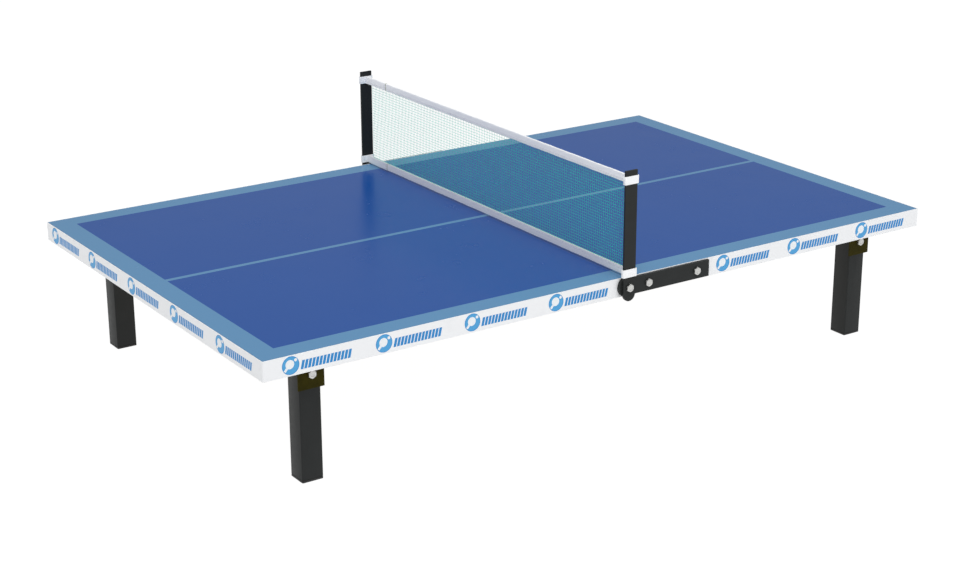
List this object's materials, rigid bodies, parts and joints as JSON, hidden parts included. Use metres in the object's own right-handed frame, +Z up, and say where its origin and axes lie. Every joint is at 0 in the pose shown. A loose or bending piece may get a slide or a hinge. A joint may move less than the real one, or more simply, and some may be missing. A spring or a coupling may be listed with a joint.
{
  "type": "folding table-top ping pong table",
  "caption": "Low table-top ping pong table: two half boards hinged under the net, folding square legs, and a net on two flat posts that folds down along the board's sides.",
  "frame": {"origin": "on the floor under the middle of the table, on the seam between its halves", "axes": "+X along the table, towards the half that carries the net's arms; +Z up"},
  "size_m": [0.9, 0.5684, 0.2813],
  "materials": {
    "playing_surface": "22 mm board with a semi-gloss painted blue face, light blue border and centre line",
    "edge_band": "white plastic edge band with blue printed marks",
    "black_steel": "satin charcoal powder coat",
    "olive_steel": "dark olive passivated sheet steel",
    "zinc": "bright zinc plate",
    "foot_plastic": "moulded black plastic",
    "net_tape": "white woven tape",
    "net_mesh": "teal green knotted thread"
  },
  "bodies": {
    "root": {"back_right_bracket_screw_1": "zinc", "back_right_bracket_screw_2": "zinc", "back_right_leg_bolt": "zinc", "back_right_leg_bracket": "olive_steel", "back_right_leg_nut": "zinc", "front_right_bracket_screw_1": "zinc", "front_right_bracket_screw_2": "zinc", "front_right_leg_bolt": "zinc", "front_right_leg_bracket": "olive_steel", "front_right_leg_nut": "zinc", "hinge_pin": "zinc", "hinge_right_leaf": "zinc", "hinge_right_screw_1": "zinc", "hinge_right_screw_2": "zinc", "hinge_right_screw_3": "zinc", "net_arm_back": "black_steel", "net_arm_bolt_back_1": "zinc", "net_arm_bolt_back_2": "zinc", "net_arm_bolt_front_1": "zinc", "net_arm_bolt_front_2": "zinc", "net_arm_front": "black_steel", "net_pivot_bolt_back": "zinc", "net_pivot_bolt_front": "zinc", "right_board": "playing_surface", "right_edge_band": "edge_band"},
    "left_half": {"back_left_bracket_screw_1": "zinc", "back_left_bracket_screw_2": "zinc", "back_left_leg_bolt": "zinc", "back_left_leg_bracket": "olive_steel", "back_left_leg_nut": "zinc", "front_left_bracket_screw_1": "zinc", "front_left_bracket_screw_2": "zinc", "front_left_leg_bolt": "zinc", "front_left_leg_bracket": "olive_steel", "front_left_leg_nut": "zinc", "hinge_left_leaf": "zinc", "hinge_left_screw_1": "zinc", "hinge_left_screw_2": "zinc", "hinge_left_screw_3": "zinc", "left_board": "playing_surface", "left_edge_band": "edge_band"},
    "front_left_leg": {"front_left_leg_tube": "black_steel", "front_left_foot_cap": "foot_plastic"},
    "front_right_leg": {"front_right_leg_tube": "black_steel", "front_right_foot_cap": "foot_plastic"},
    "back_left_leg": {"back_left_leg_tube": "black_steel", "back_left_foot_cap": "foot_plastic"},
    "back_right_leg": {"back_right_leg_tube": "black_steel", "back_right_foot_cap": "foot_plastic"},
    "net_posts": {"bottom_tape_loop_back": "net_tape", "bottom_tape_loop_front": "net_tape", "net_post_back": "black_steel", "net_post_front": "black_steel", "top_tape_loop_back": "net_tape", "top_tape_loop_front": "net_tape"},
    "net": {"net_bottom_tape": "net_tape", "net_mesh": "net_mesh", "net_top_tape": "net_tape"}
  },
  "joints": [
    {"name": "halves_fold", "type": "hinge", "parent": "root", "child": "left_half", "pos_m": [0, 0, 0.1332], "axis": [0, -1, 0], "range_deg": [0, 130]},
    {"name": "front_left_leg_fold", "type": "hinge", "parent": "left_half", "child": "front_left_leg", "pos_m": [-0.381, -0.2315, 0.1212], "axis": [0, -1, 0], "range_deg": [0, 90]},
    {"name": "front_right_leg_fold", "type": "hinge", "parent": "root", "child": "front_right_leg", "pos_m": [0.381, -0.2315, 0.1212], "axis": [0, 1, 0], "range_deg": [0, 90]},
    {"name": "back_left_leg_fold", "type": "hinge", "parent": "left_half", "child": "back_left_leg", "pos_m": [-0.381, 0.2315, 0.1212], "axis": [0, -1, 0], "range_deg": [0, 90]},
    {"name": "back_right_leg_fold", "type": "hinge", "parent": "root", "child": "back_right_leg", "pos_m": [0.381, 0.2315, 0.1212], "axis": [0, 1, 0], "range_deg": [0, 90]},
    {"name": "net_fold", "type": "hinge", "parent": "root", "child": "net_posts", "pos_m": [0, 0, 0.1475], "axis": [0, -1, 0], "range_deg": [0, 90]},
    {"name": "net_lift", "type": "slide", "parent": "net_posts", "child": "net", "axis": [1, 0, 0], "range_m": [0, 0.0125]}
  ],
  "couplings": [
    {"joint": "net_lift", "follows": "net_fold", "m_per_rad": 0.00795}
  ]
}
